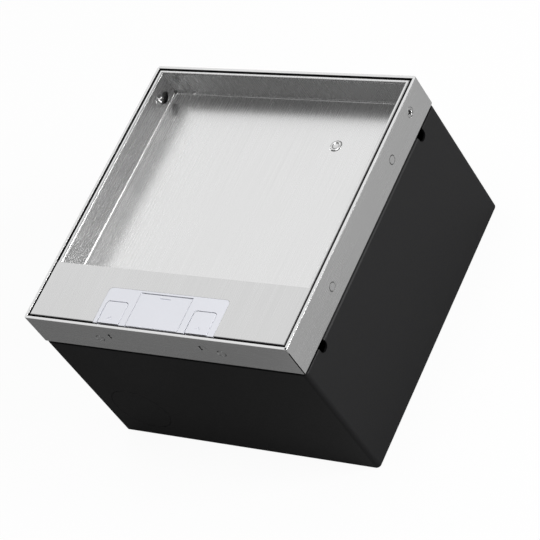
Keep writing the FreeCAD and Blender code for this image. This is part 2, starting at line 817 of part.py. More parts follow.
def carrier_screws():
    pieces = []
    for x, y in carrier_screw_places():
        length = carrier_sheet + stand_sheet + 3
        shank = rod(carrier_screw_radius, V(x, y, carrier_height - length), along_z, length)
        head = rod(carrier_head_radius, V(x, y, carrier_height), along_z, carrier_head_height)
        head = head.makeFillet(carrier_head_height * 0.5, level_edges(head, carrier_height + carrier_head_height))
        recess = cross_recess(x, y, carrier_height + carrier_head_height, 1.9, 0.9, 1.3)
        pieces.append(fused([shank, head]).cut(recess))
    return pieces


# Earthed sheet between the power row and the data row.
def compartment_divider():
    y = (row_back + row_front) / 2
    half = carrier_half_width - stand_web_inset - stand_sheet - divider_gap
    base = box_sheet
    upper = carrier_height - carrier_sheet - divider_gap
    wall = block(-half, half, y, y + divider_sheet, base, upper)
    clear_of_feet = half - stand_flange
    foot = block(-clear_of_feet, clear_of_feet, y, y + divider_foot, base, base + divider_sheet)
    tools = []
    for side in (-1, 1):
        x0, x1 = sorted((side * (half + 1), side * clear_of_feet))
        tools.append(block(x0, x1, y - 1, y + divider_foot, base, base + stand_sheet + divider_gap))
    return fused([wall, foot]).cut(tools)


def module_cover(x, y):
    half_x = module_size / 2
    half_y = module_size / 2 + module_lip
    shape = rounded_block(x - half_x, x + half_x, y - half_y, y + half_y, carrier_height, cover_top, 1.0)
    return shape.makeFillet(0.6, level_edges(shape, cover_top))


# The part of a module that fills the carrier's window.
def module_plug(x, y, bottom):
    half = module_size / 2 - window_gap
    return block(x - half, x + half, y - half, y + half, bottom, carrier_height)


def socket_cover(x):
    cup_out = cup_radius + cup_wall
    skirt = module_plug(x, row_back, carrier_height - carrier_sheet - 1.5)
    cup = rod(cup_out, V(x, row_back, housing_top), along_z, cover_top - housing_top - 0.5)
    shape = fused([module_cover(x, row_back), skirt, cup])
    tools = [rod(cup_radius, V(x, row_back, cup_bottom), along_z, cup_depth + 1)]
    for side in (-1, 1):
        tools.append(rod(pole_hole, V(x + side * pole_pitch / 2, row_back, housing_top - 1), along_z, cup_floor + 2))
        y0, y1 = sorted((side * (cup_radius - clip_bite - clip_gap), side * (cup_radius + clip_gap)))
        half = clip_width / 2 + clip_gap
        tools.append(block(x - half, x + half, row_back + y0, row_back + y1, housing_top - 1, cup_bottom + 1))
    return shape.cut(tools)


def socket_housing(x):
    half = housing_size / 2
    shape = rounded_block(x - half, x + half, row_back - half, row_back + half, housing_bottom, housing_top, 2.0)
    room_half = shutter_length / 2 + shutter_gap
    front = row_back - shutter_width / 2 - shutter_gap
    back = shutter_room_back
    depth = shutter_thickness + 2 * shutter_gap
    tools = [block(x - room_half, x + room_half, front, back, housing_top - depth, housing_top + 1)]
    for side in (-1, 1):
        pole = V(x + side * pole_pitch / 2, row_back, housing_bottom + contact_floor)
        tools.append(rod(contact_radius, pole, along_z, housing_height))
        y0, y1 = sorted((side * (cup_radius - clip_bite - clip_gap), side * (cup_radius + clip_gap)))
        width = clip_width / 2 + clip_gap
        tools.append(block(x - width, x + width, row_back + y0, row_back + y1, housing_bottom - 1, housing_top + 1))
    for place in terminal_places(x):
        tools.append(rod(terminal_radius, place, along_y, terminal_length))
    return shape.cut(tools)


# Terminal screws sit in the housing's front side, clear of the earthing clip in its middle.
def terminal_places(x):
    y = row_back - housing_size / 2
    z = housing_bottom + terminal_rise
    return [V(x + (step - 0.5) * terminal_pitch, y, z) for step in (-1, 0, 1)]


def terminal_screws(x):
    pieces = []
    for place in terminal_places(x):
        shank = rod(terminal_radius, place, along_y, terminal_length)
        head = rod(terminal_head_radius, place, -along_y, terminal_head_height)
        slot = block(place.x - terminal_head_radius, place.x + terminal_head_radius,
                     place.y - terminal_head_height, place.y - terminal_head_height / 2,
                     place.z - terminal_slot / 2, place.z + terminal_slot / 2)
        pieces.append(fused([shank, head]).cut(slot))
    return pieces


def socket_contacts(x):
    pieces = []
    for side in (-1, 1):
        foot = V(x + side * pole_pitch / 2, row_back, housing_bottom + contact_floor)
        tube = rod(contact_radius, foot, along_z, contact_length)
        bore = rod(contact_bore, foot + V(0, 0, 1.5), along_z, contact_length)
        split = block(foot.x - 0.4, foot.x + 0.4, foot.y - 6, foot.y + 6, foot.z + 3, foot.z + 20)
        pieces.append(tube.cut([bore, split]))
    return pieces


def earth_clip(x):
    top_z = cover_top - clip_top_gap
    foot_z = housing_bottom - clip_thickness
    arms = []
    for side in (-1, 1):
        face = cup_radius - clip_bite
        y0, y1 = sorted((side * face, side * (face + clip_thickness)))
        arms.append(block(x - clip_width / 2, x + clip_width / 2, row_back + y0, row_back + y1, foot_z, top_z))
    reach = cup_radius - clip_bite + clip_thickness
    bridge = block(x - clip_width / 2, x + clip_width / 2, row_back - reach, row_back + reach,
                   foot_z, housing_bottom)
    return fused(arms + [bridge])


def socket_shutter(x):
    z1 = housing_top - shutter_gap
    z0 = z1 - shutter_thickness
    shape = block(x - shutter_length / 2, x + shutter_length / 2, row_back - shutter_width / 2,
                  row_back + shutter_width / 2, z0, z1)
    tools = []
    for side in (-1, 1):
        centre = V(x + side * pole_pitch / 2, row_back - shutter_travel, z0 - 1)
        tools.append(rod(shutter_hole, centre, along_z, shutter_thickness + 2))
    return shape.cut(tools)


# Leaf springs press the shutters shut; they lie in the free end of the shutter's room.
def shutter_spring(x):
    z1 = housing_top - 2 * shutter_gap
    z0 = z1 - shutter_thickness + shutter_gap
    half = shutter_length / 2 - 1
    return block(x - half, x + half, shutter_room_back - spring_sheet, shutter_room_back, z0, z1)


def port_places(x):
    return [(x + side * port_pitch / 2, row_front) for side in (-1, 1)]


def data_cover(x):
    shape = fused([module_cover(x, row_front), module_plug(x, row_front, carrier_height - carrier_sheet - 1.5)])
    tools = []
    for px, py in port_places(x):
        half_x = jack_width / 2 + jack_gap
        half_y = jack_depth / 2 + jack_gap
        tools.append(block(px - half_x, px + half_x, py - half_y, py + half_y, 0, cover_top + 1))
    return shape.cut(tools)


def data_jack(px, py):
    z1 = cover_top - jack_sink
    shape = block(px - jack_width / 2, px + jack_width / 2, py - jack_depth / 2, py + jack_depth / 2,
                  z1 - jack_length, z1)
    hollow = block(px - port_width / 2, px + port_width / 2, py - port_height / 2, py + port_height / 2,
                   z1 - port_depth, z1 + 1)
    key = block(px - 3.1, px + 3.1, py - port_height / 2 - 2.4, py, z1 - port_depth, z1 + 1)
    lug = block(px - jack_width / 2, px + jack_width / 2, py + jack_depth / 2, py + jack_depth / 2 + 1.6,
                z1 - 12, z1 - 8)
    return fused([shape, lug]).cut([hollow, key])


def data_contacts(px, py):
    z1 = cover_top - jack_sink
    pieces = []
    for number in range(port_contacts):
        x = px + (number - (port_contacts - 1) / 2) * contact_pitch
        pieces.append(block(x - contact_wire / 2, x + contact_wire / 2, py + port_height / 2 - 1.4,
                            py + port_height / 2, z1 - port_depth, z1 - 2.5))
    return pieces


def blank_cover(x):
    return fused([module_cover(x, row_front), module_plug(x, row_front, carrier_height - carrier_sheet - 1.5)])


def save(name, shapes):
    shapes = shapes if isinstance(shapes, list) else [shapes]
    solids = [solid for shape in shapes for solid in shape.Solids]
    whole = solids[0] if len(solids) == 1 else Part.makeCompound(solids)
    whole.exportStep("parts/" + name + ".step")
    box = whole.BoundBox
    print(name, len(solids), "solids", round(sum(s.Volume for s in solids)), "mm3",
          [round(v, 1) for v in (box.XMin, box.XMax, box.YMin, box.YMax, box.ZMin, box.ZMax)],
          "" if all(s.isValid() for s in solids) else "INVALID")


os.makedirs("parts", exist_ok=True)

save("back_box", back_box())
save("knockout_discs", knockout_discs())
save("flange_inserts", flange_inserts())
save("box_earth_stud", box_earth_stud())
save("box_earth_nuts", box_earth_nuts())
save("carrier_stands", carrier_stands())
save("module_carrier", module_carrier())
save("carrier_screws", carrier_screws())
save("compartment_divider", compartment_divider())

for name, step in (("left", -1), ("centre", 0), ("right", 1)):
    x = step * module_pitch
    save("socket_cover_" + name, socket_cover(x))
    save("socket_housing_" + name, socket_housing(x))
    save("socket_shutter_" + name, socket_shutter(x))
socket_steps = [step * module_pitch for step in (-1, 0, 1)]
save("socket_contacts", [piece for x in socket_steps for piece in socket_contacts(x)])
save("socket_earth_clips", [earth_clip(x) for x in socket_steps])
save("socket_terminal_screws", [piece for x in socket_steps for piece in terminal_screws(x)])
save("shutter_springs", [shutter_spring(x) for x in socket_steps])

data_steps = [-module_pitch, 0]
save("data_cover_left", data_cover(data_steps[0]))
save("data_cover_centre", data_cover(data_steps[1]))
ports = [place for x in data_steps for place in port_places(x)]
save("data_jacks", [data_jack(px, py) for px, py in ports])
save("data_contacts", [piece for px, py in ports for piece in data_contacts(px, py)])
save("blank_cover", blank_cover(module_pitch))

save("trim_frame", trim_frame())
save("frame_rivets", rivets())
save("lid_rest", lid_rest())
save("rest_seal", rest_seal())
save("frame_gasket", frame_gasket())
save("levelling_screws", levelling_screws())

save("hinge_barrels", hinge_barrels())
save("hinge_screws", hinge_screws())

save("lid_tray", lid_tray())
save("lid_strip", lid_strip())
save("lid_stiffeners", lid_stiffeners())
save("lid_earth_stud", lid_earth_stud())
save("lid_earth_nut", lid_earth_nut())
save("outlet_plate", outlet_plate())
save("outlet_screws", outlet_screws())
save("flap_pins", flap_pins())
save("handle_pin", handle_pin())
save("cable_flap_left", cable_flap(-1))
save("cable_flap_right", cable_flap(1))
save("lift_handle", lift_handle())
print("overall", frame_size, "by", frame_size, "by", top)
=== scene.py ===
import json
import math

import bmesh
import bpy
import numpy as np
from mathutils import Euler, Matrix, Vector


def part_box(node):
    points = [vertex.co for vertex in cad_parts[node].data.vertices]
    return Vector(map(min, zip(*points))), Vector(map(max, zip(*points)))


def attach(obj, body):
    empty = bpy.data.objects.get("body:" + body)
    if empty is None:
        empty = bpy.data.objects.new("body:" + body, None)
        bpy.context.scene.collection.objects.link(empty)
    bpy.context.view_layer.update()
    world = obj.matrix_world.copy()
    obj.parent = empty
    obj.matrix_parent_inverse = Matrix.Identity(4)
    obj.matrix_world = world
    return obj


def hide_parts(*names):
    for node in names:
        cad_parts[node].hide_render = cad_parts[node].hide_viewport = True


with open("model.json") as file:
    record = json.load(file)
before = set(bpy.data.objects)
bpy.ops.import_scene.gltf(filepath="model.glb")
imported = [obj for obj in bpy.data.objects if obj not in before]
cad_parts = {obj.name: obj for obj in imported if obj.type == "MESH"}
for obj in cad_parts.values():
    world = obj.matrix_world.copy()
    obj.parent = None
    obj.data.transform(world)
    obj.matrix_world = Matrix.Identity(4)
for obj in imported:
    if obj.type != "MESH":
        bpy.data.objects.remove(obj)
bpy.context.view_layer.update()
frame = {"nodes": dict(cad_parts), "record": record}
millimetre = 0.001


class Wire:
    # One output socket; arithmetic on it adds Math nodes.
    def __init__(self, tree, socket):
        self.tree = tree
        self.socket = socket

    def mathNode(self, operation, *values):
        node = self.tree.nodes.new("ShaderNodeMath")
        node.operation = operation
        for slot, value in zip(node.inputs, values):
            plug(self.tree, slot, value)
        return Wire(self.tree, node.outputs[0])

    def __add__(self, other):
        return self.mathNode("ADD", self, other)

    def __radd__(self, other):
        return self.mathNode("ADD", other, self)

    def __sub__(self, other):
        return self.mathNode("SUBTRACT", self, other)

    def __rsub__(self, other):
        return self.mathNode("SUBTRACT", other, self)

    def __mul__(self, other):
        return self.mathNode("MULTIPLY", self, other)

    def __rmul__(self, other):
        return self.mathNode("MULTIPLY", other, self)

    def __gt__(self, other):
        return self.mathNode("GREATER_THAN", self, other)

    def __lt__(self, other):
        return self.mathNode("LESS_THAN", self, other)

    def __abs__(self):
        return self.mathNode("ABSOLUTE", self)


def plug(tree, slot, value):
    # links a wire into a socket, or sets the socket's own value
    if isinstance(value, Wire):
        tree.links.new(value.socket, slot)
    else:
        slot.default_value = value


class Finish:
    # A material, or the world, under construction.
    def __init__(self, name, owner=None):
        self.owner = owner or bpy.data.materials.new(name)
        self.owner.use_nodes = True
        self.tree = self.owner.node_tree
        self.tree.nodes.clear()

    def node(self, kind, settings=None, inputs=None, output=0):
        # output is the socket that comes back: a number, "all" for a list of them, or None
        node = self.tree.nodes.new("ShaderNode" + kind)
        for key, value in (settings or {}).items():
            setattr(node, key, value)
        for key, value in (inputs or {}).items():
            plug(self.tree, node.inputs[key], value)
        if output == "all":
            return {socket.name: Wire(self.tree, socket) for socket in node.outputs}
        return None if output is None else Wire(self.tree, node.outputs[output])

    def split(self, source):
        # the X, Y and Z of one of Texture Coordinate's outputs
        vector = self.node("TexCoord", output=source)
        return self.node("SeparateXYZ", inputs={"Vector": vector}, output="all").values()

    def coordinates(self, scale=(1, 1, 1)):
        place = self.node("TexCoord", output="Object")
        return self.node("Mapping", inputs={"Vector": place, "Scale": scale})

    def noise(self, vector, scale=1.0, detail=2.0, rough=0.5):
        return self.node("TexNoise", inputs={"Vector": vector, "Scale": scale, "Detail": detail,
                                             "Roughness": rough})

    def mixColor(self, factor, first, second):
        return self.node("Mix", {"data_type": "RGBA"}, {0: factor, 6: first, 7: second}, 2)

    def mixVector(self, factor, first, second):
        return self.node("Mix", {"data_type": "VECTOR"}, {0: factor, 4: first, 5: second}, 1)

    def smooth(self, value, low, high, first, last):
        # eases from first to last while the value goes from low to high
        return self.node("MapRange", {"interpolation_type": "SMOOTHSTEP"},
                         {"Value": value, "From Min": low, "From Max": high,
                          "To Min": first, "To Max": last})

    def bump(self, height, distance, strength=1.0):
        return self.node("Bump", inputs={"Height": height, "Distance": distance,
                                         "Strength": strength})

    def surface(self, **sockets):
        inputs = {key.replace("_", " "): value for key, value in sockets.items()}
        shader = self.node("BsdfPrincipled", inputs=inputs)
        self.node("OutputMaterial", inputs={"Surface": shader}, output=None)
        return self.owner


def grey(level):
    return (level, level, level, 1)


def scaled(color, factor):
    # a colour made lighter or darker, never past white
    return tuple(min(channel * factor, 1.0) for channel in color[:3]) + (1,)


def dress(node, finish):
    # gives a carried-over node its finish
    slots = frame["nodes"][node].data.materials
    slots.clear()
    slots.append(finish)


brushed = dict(
    level=0.74,                     # how much the steel reflects
    streak=0.034,                   # how far the grain darkens or lightens it
    streakShare=2.2,                # contrast of the grain, and of the broad clouds
    cloudShare=0.7,
    roughness=0.27,
    streakRough=0.07,               # how far grain and clouds change the roughness
    cloudRough=0.04,
    fine=3600.0,                    # grain lines per metre, across
    fineShare=0.55,
    coarse=1300.0,
    coarseShare=0.45,
    long=9.0,                       # and along
    cloud=14.0,
    depth=0.0011 * millimetre,
    facingBack=0.7,                 # past this a wall counts as facing the front or the back
    paintedShade=0.035,                     # painted shade: what gaps, pits and the seam keep of the reflection
    gapShadeReach=1.5 * millimetre,      # how far down the painted shade in the gap goes
    pitFrom=0.3 * millimetre,       # how deep a pit in the frame is before it gets painted shade, and the depth past which it is the sheet's inner side
    pitTo=1.9 * millimetre,         # and the depth past which it is the sheet's inner side
    pitBelow=5.0 * millimetre,      # pits lie below this, counted from the frame's top
    seam=0.5 * millimetre,          # half width of the painted shade line down the corner seam
    seamBelow=0.2 * millimetre,
)


def brushedSteel(name, grain, level=1.0, roughness=0.0, gapShade=None, trim=None):
    # grain is "x", "y", "frame" (round the frame) or "tray" (one folded blank). Painted shade in the
    # lid's gap: given (offset, height[, second offset]), the steel is painted dark just below that
    # height where it lies past the offset from the middle, and not past the second. trim is the
    # frame's box: what is pressed in below its outer faces gets painted shade, and so does the seam
    # down its front right corner.
    c = brushed
    finish = Finish(name)
    x, y, z = finish.split("Object")
    facing = list(finish.split("Normal"))[1]

    def lines(across):
        alongX = finish.coordinates((c["long"], across, across))
        alongY = finish.coordinates((across, c["long"], across))
        if grain == "x":
            chosen = alongX
        elif grain == "y":
            chosen = alongY
        elif grain == "frame":
            chosen = finish.mixVector(abs(x) > abs(y), alongX, alongY)
        else:
            upright = finish.coordinates((across, across, c["long"]))
            chosen = finish.mixVector(abs(facing) > c["facingBack"], alongY, upright)
        return finish.noise(chosen)

    streaks = lines(c["fine"]) * c["fineShare"] + lines(c["coarse"]) * c["coarseShare"]
    clouds = finish.noise(finish.coordinates(), c["cloud"], 3.0)
    shade = (streaks - 0.5) * c["streakShare"] + (clouds - 0.5) * c["cloudShare"]
    tone = c["level"] * level
    color = finish.mixColor(shade + 0.5, grey(tone - c["streak"]), grey(tone + c["streak"]))
    # painted shade in the lid's gap: dark just below the given height
    if gapShade:
        outside = (abs(x) > gapShade[0]) + (abs(y) > gapShade[0])
        gapShadeMask = (outside > 0.5) * (z < gapShade[1]) * (z > gapShade[1] - c["gapShadeReach"])
        if len(gapShade) > 2:
            gapShadeMask = gapShadeMask * (abs(x) < gapShade[2]) * (abs(y) < gapShade[2])
        color = finish.mixColor(gapShadeMask, color, grey(c["paintedShade"]))
    # painted shade in the frame's pits and recesses, and down its corner seam
    if trim:
        half, top = trim[1][0], trim[1][2]
        outer, inner = half - c["pitFrom"], half - c["pitTo"]
        pitShade = (abs(x) < outer) * (abs(y) < outer) * (z < top - c["pitBelow"])
        pitShade = pitShade * ((abs(x) > inner) + (abs(y) > inner) > 0.5)
        seamShade = (x > half - c["seam"]) * (y < c["seam"] - half) * (z < top - c["seamBelow"])
        color = finish.mixColor(pitShade + seamShade > 0.5, color, grey(c["paintedShade"]))
    rough = ((streaks - 0.5) * c["streakRough"] + (clouds - 0.5) * c["cloudRough"]
             + (c["roughness"] + roughness))
    return finish.surface(Base_Color=color, Metallic=1.0, Roughness=rough,
                          Normal=finish.bump(streaks, c["depth"]))


coat = dict(
    color=(0.0074, 0.0074, 0.0079, 1), roughness=0.5, gloss=0.28,
    grain=1500.0, grainShare=0.6, grainRough=0.2,       # the coat's round texture
    mottle=420.0, mottleShare=0.4,
    drift=9.0, driftRough=0.08,                         # broad changes in gloss
    darkest=0.72, palest=1.3,
    depth=0.05 * millimetre, strength=0.8,
    joint=1.3 * millimetre,                             # how far the painted shadow under the frame comes down
    shadowTone=0.0004, shadowRough=0.5,
)


def powderCoat(name, color, roughness, shadeAbove=None):
    # textured powder coat: small round grain, a faint mottle and a broad drift in gloss;
    # above the height shadeAbove it has a painted shadow, near black, for the shade under the frame
    c = coat
    finish = Finish(name)
    place = finish.coordinates()
    grain = finish.noise(place, c["grain"], 2.0, 0.55)
    mottle = finish.noise(place, c["mottle"])
    drift = finish.noise(place, c["drift"])
    tone = finish.mixColor(grain * c["grainShare"] + mottle * c["mottleShare"],
                           scaled(color, c["darkest"]), scaled(color, c["palest"]))
    rough = (grain - 0.5) * c["grainRough"] + (drift - 0.5) * c["driftRough"] + roughness
    # painted shadow under the frame's foot: near black and rougher above shadeAbove
    if shadeAbove:
        height = list(finish.split("Object"))[2]
        underFrameShadow = height > shadeAbove
        tone = finish.mixColor(underFrameShadow, tone, grey(c["shadowTone"]))
        rough = rough + underFrameShadow * c["shadowRough"]
    return finish.surface(Base_Color=tone, Roughness=rough, Specular_IOR_Level=c["gloss"],
                          Normal=finish.bump(grain, c["depth"], c["strength"]))


plastic = dict(spark=2600.0, sparkRough=0.12, drift=22.0, driftRough=0.06,
               darkest=0.965, palest=1.02, depth=0.012 * millimetre, strength=0.6)


def mouldedPlastic(name, color, roughness):
    # fine spark texture from the mould, and a slow drift in colour
    c = plastic
    finish = Finish(name)
    place = finish.coordinates()
    spark = finish.noise(place, c["spark"], 2.0, 0.6)
    drift = finish.noise(place, c["drift"], 3.0)
    rough = (spark - 0.5) * c["sparkRough"] + (drift - 0.5) * c["driftRough"] + roughness
    tone = finish.mixColor(drift, scaled(color, c["darkest"]), scaled(color, c["palest"]))
    return finish.surface(Base_Color=tone, Roughness=rough,
                          Normal=finish.bump(spark, c["depth"], c["strength"]))


plated = dict(cells=300.0, cellRough=0.16, darkest=0.82,
              scuffs=(900.0, 60.0, 900.0), scuffRough=0.1,      # scuffs lie along Y
              depth=0.01 * millimetre, strength=0.5)


def platedMetal(name, color, roughness):
    # cloudy plating with fine scuffs
    c = plated
    finish = Finish(name)
    cells = finish.noise(finish.coordinates(), c["cells"], 3.0, 0.6)
    scuffs = finish.noise(finish.coordinates(c["scuffs"]))
    rough = (cells - 0.5) * c["cellRough"] + (scuffs - 0.5) * c["scuffRough"] + roughness
    return finish.surface(Base_Color=finish.mixColor(cells, scaled(color, c["darkest"]), color),
                          Metallic=1.0, Roughness=rough,
                          Normal=finish.bump(scuffs, c["depth"], c["strength"]))


foam = dict(cells=1900.0, palest=1.8, cellRough=0.1, depth=0.06 * millimetre, strength=0.8)


def foamRubber(name, color, roughness):
    # small open cells, paler on their rims
    c = foam
    finish = Finish(name)
    cells = finish.noise(finish.coordinates(), c["cells"], 2.0, 0.6)
    return finish.surface(Base_Color=finish.mixColor(cells, color, scaled(color, c["palest"])),
                          Roughness=(cells - 0.5) * c["cellRough"] + roughness,
                          Normal=finish.bump(cells, c["depth"], c["strength"]))


print("finishes")
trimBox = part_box("trim_frame")
lidEdge, _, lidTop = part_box("lid_tray")[1]
# painted shade: the lid's gap on the frame, the tray and the strip; the pits and seam on the frame
# and turned heads
frameSteel = brushedSteel(
    "frameSteel", "frame", trim=trimBox,
    gapShade=(lidEdge, lidTop - 0.12 * millimetre, lidEdge + 1.2 * millimetre))
traySteel = brushedSteel(
    "traySteel", "tray", gapShade=(lidEdge - 0.5 * millimetre, lidTop - 0.34 * millimetre))
stripSteel = brushedSteel(
    "stripSteel", "y", 0.88, gapShade=(lidEdge - 0.3 * millimetre, lidTop - 0.1 * millimetre))
turnedSteel = brushedSteel("turnedSteel", "x", 0.92, trim=trimBox)
pinSteel = brushedSteel("pinSteel", "x", 1.0, -0.09)
# the box's coat gets a painted shadow just under the frame's foot
blackCoat = powderCoat("blackCoat", coat["color"], coat["roughness"], trimBox[0][2] - coat["joint"])
greyCoat = powderCoat("greyCoat", (0.30, 0.31, 0.32, 1), 0.5)
zincSteel = platedMetal("zincSteel", (0.66, 0.67, 0.70, 1), 0.32)
bareBrass = platedMetal("bareBrass", (0.80, 0.60, 0.28, 1), 0.28)
palePlastic = mouldedPlastic("palePlastic", (0.80, 0.81, 0.865, 1), 0.42)
whitePlastic = mouldedPlastic("whitePlastic", (0.80, 0.80, 0.79, 1), 0.3)
greyPlastic = mouldedPlastic("greyPlastic", (0.28, 0.29, 0.30, 1), 0.45)
blackPlastic = mouldedPlastic("blackPlastic", (0.02, 0.02, 0.022, 1), 0.4)
sealRubber = foamRubber("sealRubber", (0.012, 0.012, 0.012, 1), 0.75)

finishOfSlot = dict(
    stainless=frameSteel, stainless_turned=turnedSteel, black_coat=blackCoat, grey_coat=greyCoat,
    zinc_steel=zincSteel, brass=bareBrass, pale_plastic=palePlastic, white_plastic=whitePlastic,
    grey_plastic=greyPlastic, black_plastic=blackPlastic, seal_rubber=sealRubber)
for part in frame["record"]["subparts"]:
    dress(part["node"], finishOfSlot[part["material_slot"]])
dress("lid_tray", traySteel)
dress("lid_strip", stripSteel)


def gridFaces(rows, columns, roundRows=False, roundColumns=True, start=0):
    # four-cornered faces over a rows x columns grid; a round direction closes on itself
    i, j = np.meshgrid(np.arange(rows if roundRows else rows - 1),
                       np.arange(columns if roundColumns else columns - 1), indexing="ij")
    nextI, nextJ = (i + 1) % rows, (j + 1) % columns
    corners = [i * columns + j, nextI * columns + j, nextI * columns + nextJ, i * columns + nextJ]
    return start + np.stack([corner.ravel() for corner in corners], axis=1)


def addPiece(name, points, faces, finish, body, replaced, slot, bend=38):
    # points in millimetres; doubles are merged, faces turned outwards, and edges that bend by more
    # than so many degrees stay sharp
    mesh = bpy.data.meshes.new(name)
    mesh.from_pydata((np.asarray(points) * millimetre).tolist(), [], np.asarray(faces).tolist())
    work = bmesh.new()
    work.from_mesh(mesh)
    bmesh.ops.remove_doubles(work, verts=work.verts, dist=0.002 * millimetre)
    bmesh.ops.dissolve_degenerate(work, edges=work.edges, dist=0.001 * millimetre)
    bmesh.ops.recalc_face_normals(work, faces=work.faces)
    work.to_mesh(mesh)
    work.free()
    mesh.polygons.foreach_set("use_smooth", np.ones(len(mesh.polygons), dtype=bool))
    mesh.set_sharp_from_angle(angle=math.radians(bend))
    mesh.materials.append(finish)
    piece = bpy.data.objects.new(name, mesh)
    bpy.context.scene.collection.objects.link(piece)
    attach(piece, body)
    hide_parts(*replaced)


def turned(profile, steps=48):
    # A profile of (radius, height) turned about Z: point = (radius cos t, radius sin t, height).
    radius, height = np.array(profile, dtype=float).T
    t = np.linspace(0, 2 * np.pi, steps, endpoint=False)
    return np.stack([radius[:, None] * np.cos(t), radius[:, None] * np.sin(t),
                     height[:, None] + 0 * t], axis=-1)


def crossDepth(points, c):
    # A cross recess: depth times the share inside either arm, fading out towards the arms' ends.
    x, y = np.abs(points[..., 0]), np.abs(points[..., 1])
    nearArm = np.clip((c["width"] / 2 - np.minimum(x, y)) / (0.25 * c["width"]) + 0.5, 0, 1)
    along = np.clip((c["reach"] - np.maximum(x, y)) / (0.45 * c["reach"]), 0, 1)
    return c["depth"] * nearArm * along


def placed(points, middle, axis):
    # turns a shape made along +Z so that it looks along axis, and puts it at middle
    x, y, z = points[..., 0], points[..., 1], points[..., 2]
    turns = {"x": (z, x, y), "-x": (-z, -x, y), "-y": (x, -z, y), "z": (x, y, z)}
    return np.stack(turns[axis], axis=-1) + np.array(middle)


def joinGrids(grids):
    # several turned shapes as one list of points and one of faces
    points, faces, start = [], [], 0
    for grid in grids:
        rows, columns = grid.shape[:2]
        points.append(grid.reshape(-1, 3))
        faces.append(gridFaces(rows, columns, start=start))
        start += rows * columns
    return np.concatenate(points), np.concatenate(faces)


def boxInMillimetres(node):
    return np.array(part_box(node)) / millimetre


frameBox = boxInMillimetres("trim_frame")
frameHalf, frameFoot, frameTop = frameBox[1][0], frameBox[0][2], frameBox[1][2]
barrelsEnd = boxInMillimetres("hinge_barrels")[1][0]
pinPlace = boxInMillimetres("hinge_barrels").sum(axis=0) / 2

rivetHead = dict(
    radius=3.4, length=3.5,
    groove=2.8, grooveHalf=0.3, grooveDepth=0.4,    # the ring pressed into the head
    offset=46.4,                                    # from the middle of each side
    drop=13.2,                                      # and from the frame's top
)

trimSheet = dict(
    sheet=2.0,
    rim=0.3, innerRim=0.2,      # rounding of the edges
    bend=2.0,                   # outer radius of the bent corners
    faceBack=0.03,              # the rivets and screws stand this much proud
    seamBend=0.6, seamDepth=1.3, seamSteps=2.6, seamFrom=1.6,
    dimpleOffset=34.7, dimpleDrop=9.8, dimpleRadius=3.2, dimpleDepth=0.26,
    lanceDepth=1.7,             # the crisp cut at each dimple's left side,
    lanceRing=0.78,             # at this share of the dimple's radius
    lanceHalf=0.45, lanceSpan=4.0, lanceStart=2.4,
    pitRadius=3.15, pitDepth=1.5,
    step=0.25, patch=4.0,       # fine grid: its step, and how far it goes round each mark
    fineFrom=17.0, fineTo=5.4,  # and between these depths below the top
    sideSteps=9, sideEnd=8.0,   # coarse grid along a side, and how far it stops from the ends
    bendSteps=9,
)


def squareWay(half, bend, marks):
    # The way round a square with bent corners, from the front to the right, the back and the left.
    # A point at depth d is middle - outward d on a side; in a corner it is
    # middle - sign max(d - radius, 0) + outward max(radius - d, 0),
    # with outward = out cos t + along sin t. marks gives more offsets on each side.
    c = trimSheet
    rows = []
    sides = [((1, 0), (0, -1)), ((0, 1), (1, 0)), ((-1, 0), (0, 1)), ((0, -1), (-1, 0))]
    for number, (along, out) in enumerate(sides):
        along, out = np.array(along, float), np.array(out, float)
        radius = bend[(number + 1) % 4]
        coarse = np.linspace(-half + c["sideEnd"], half - c["sideEnd"], c["sideSteps"])
        run = np.unique(np.concatenate([[-half + bend[number], half - radius], coarse,
                                        marks[number]]))
        flat = np.ones((len(run), 1))
        rows.append(np.hstack([out * half + along * run[:, None], flat * out, flat * 0, flat * 0,
                               run[:, None], flat * number, flat * 0]))
        t = np.linspace(0, np.pi / 2, c["bendSteps"])[1:-1, None]
        flat = np.ones((len(t), 1))
        rows.append(np.hstack([flat * (out + along) * (half - radius),
                               out * np.cos(t) + along * np.sin(t), flat * (out + along),
                               flat * np.nan, flat * number, flat * radius]))
    rows = np.concatenate(rows)
    return rows[:, 0:2], rows[:, 2:4], rows[:, 4:6], rows[:, 6], rows[:, 7], rows[:, 8]


